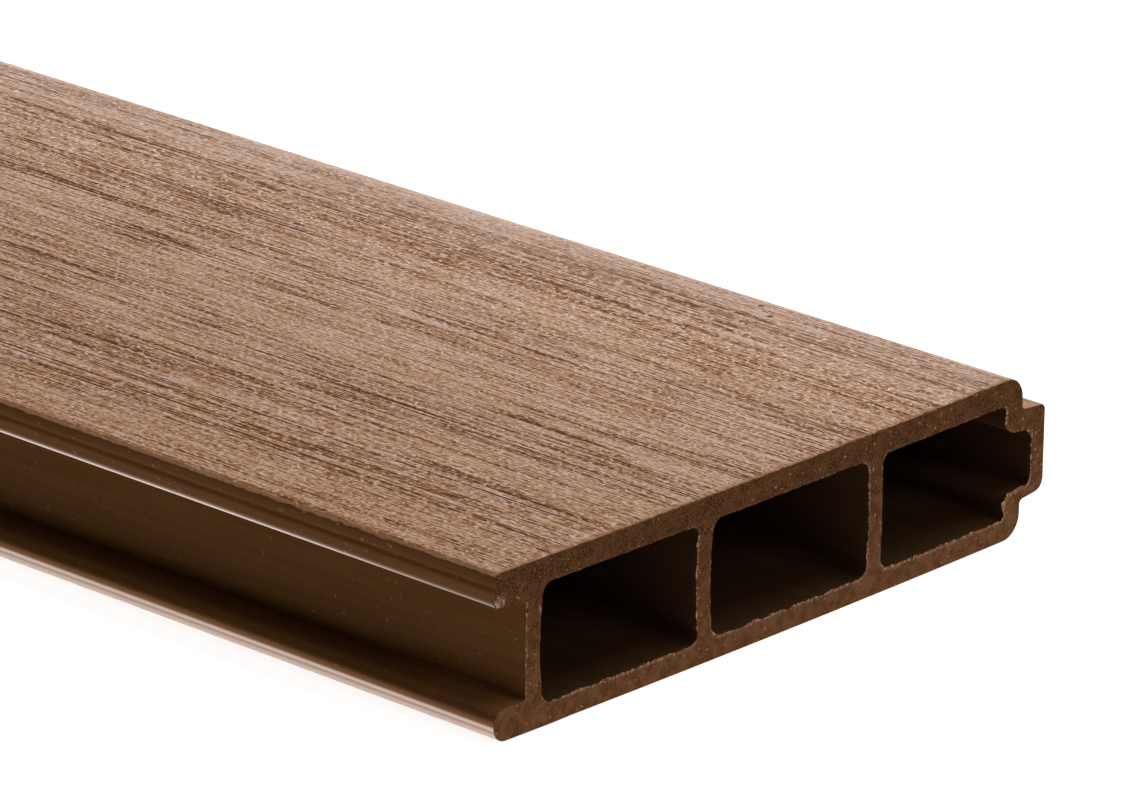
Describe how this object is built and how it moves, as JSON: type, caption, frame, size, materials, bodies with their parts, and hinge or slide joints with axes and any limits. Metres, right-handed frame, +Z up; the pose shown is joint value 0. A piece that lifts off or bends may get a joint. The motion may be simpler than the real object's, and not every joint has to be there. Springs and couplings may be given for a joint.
{
  "type": "tongue and groove board",
  "caption": "Long hollow fence board in brown wood-plastic composite, with a brushed face, a groove along one edge and a hollow tongue along the other.",
  "frame": {"origin": "middle of the back face, halfway along the board and halfway between the groove's lips and the tongue's tip", "axes": "+X along the board, +Y across it towards the tongue, +Z up through the thickness towards the brushed face"},
  "size_m": [1.8, 0.14, 0.03],
  "materials": {
    "composite": "extruded wood-plastic composite, brushed on the face and sawn at the ends"
  },
  "bodies": {
    "root": {"board": "composite"}
  },
  "joints": []
}
